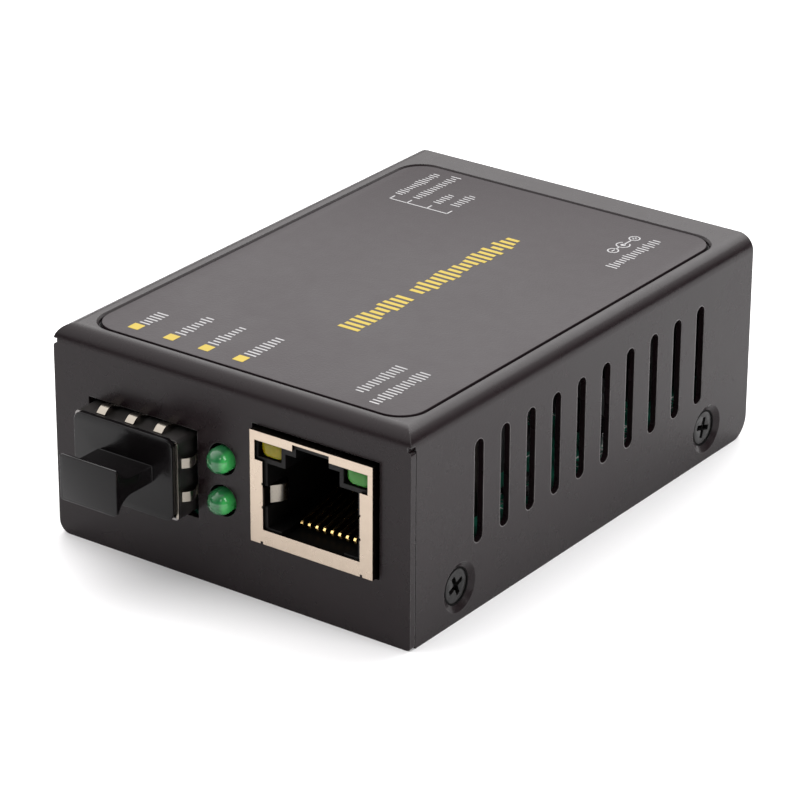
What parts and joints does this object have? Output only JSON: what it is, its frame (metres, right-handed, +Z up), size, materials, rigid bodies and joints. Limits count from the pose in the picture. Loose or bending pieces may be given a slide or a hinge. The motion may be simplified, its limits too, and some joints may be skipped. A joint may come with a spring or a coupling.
{
  "type": "fibre media converter",
  "caption": "Compact black steel fibre media converter: capped pluggable fibre port, shielded network jack and status lamps in front, power inlet and slide switches behind.",
  "frame": {"origin": "underside of the base tray, in the middle of the folded case", "axes": "+X to the right along the port panel, +Y from the port panel to the rear, +Z up"},
  "size_m": [0.048, 0.077, 0.0251],
  "materials": {
    "case_black": "fine matte powder coat",
    "screw_black": "black oxide, satin",
    "label_dark": "printed film, satin",
    "board_green": "solder mask",
    "bright_steel": "bright plated",
    "cage_nickel": "dull nickel plated",
    "contact_gold": "gold plated spring",
    "plug_black": "moulded, satin",
    "housing_grey": "moulded insulator",
    "lens_amber": "clear tinted lens",
    "lens_green": "clear tinted lens",
    "lamp_green": "diffused tinted resin",
    "holder_black": "moulded",
    "switch_body": "moulded",
    "slider_white": "moulded",
    "chip_black": "moulded package",
    "ferrite_grey": "ferrite"
  },
  "bodies": {
    "case": {"top_cover": "case_black", "base_tray": "case_black", "cover_screws": "screw_black", "label_overlay": "label_dark", "circuit_board": "board_green", "board_standoffs": "bright_steel", "board_screws": "bright_steel", "sfp_cage": "cage_nickel", "cage_springs": "contact_gold", "host_connector": "chip_black", "jack_shield": "bright_steel", "jack_housing": "housing_grey", "jack_contacts": "contact_gold", "jack_lamp_left": "lens_amber", "jack_lamp_right": "lens_green", "lower_lamp": "lamp_green", "upper_lamp": "lamp_green", "lower_lamp_leads": "bright_steel", "upper_lamp_leads": "bright_steel", "lamp_holder": "holder_black", "power_jack_body": "holder_black", "power_jack_pin": "bright_steel", "power_jack_terminals": "bright_steel", "switch_body": "switch_body", "switch_pins": "bright_steel", "converter_chip": "chip_black", "memory_chip": "chip_black", "line_transformer": "chip_black", "power_inductor": "ferrite_grey", "voltage_regulator": "chip_black", "power_diode": "chip_black", "clock_crystal": "bright_steel", "filter_capacitors": "bright_steel", "chip_parts": "ferrite_grey"},
    "plug": {"dust_plug": "plug_black"},
    "slider_1": {"switch_slider_1": "slider_white"},
    "slider_2": {"switch_slider_2": "slider_white"},
    "slider_3": {"switch_slider_3": "slider_white"},
    "slider_4": {"switch_slider_4": "slider_white"}
  },
  "joints": [
    {"name": "plug_pull", "type": "slide", "parent": "case", "child": "plug", "axis": [0, -1, 0], "range_m": [0, 0.014]},
    {"name": "switch_1", "type": "slide", "parent": "case", "child": "slider_1", "axis": [0, 0, 1], "range_m": [0, 0.0012]},
    {"name": "switch_2", "type": "slide", "parent": "case", "child": "slider_2", "axis": [0, 0, 1], "range_m": [0, 0.0012]},
    {"name": "switch_3", "type": "slide", "parent": "case", "child": "slider_3", "axis": [0, 0, 1], "range_m": [0, 0.0012]},
    {"name": "switch_4", "type": "slide", "parent": "case", "child": "slider_4", "axis": [0, 0, 1], "range_m": [0, 0.0012]}
  ]
}
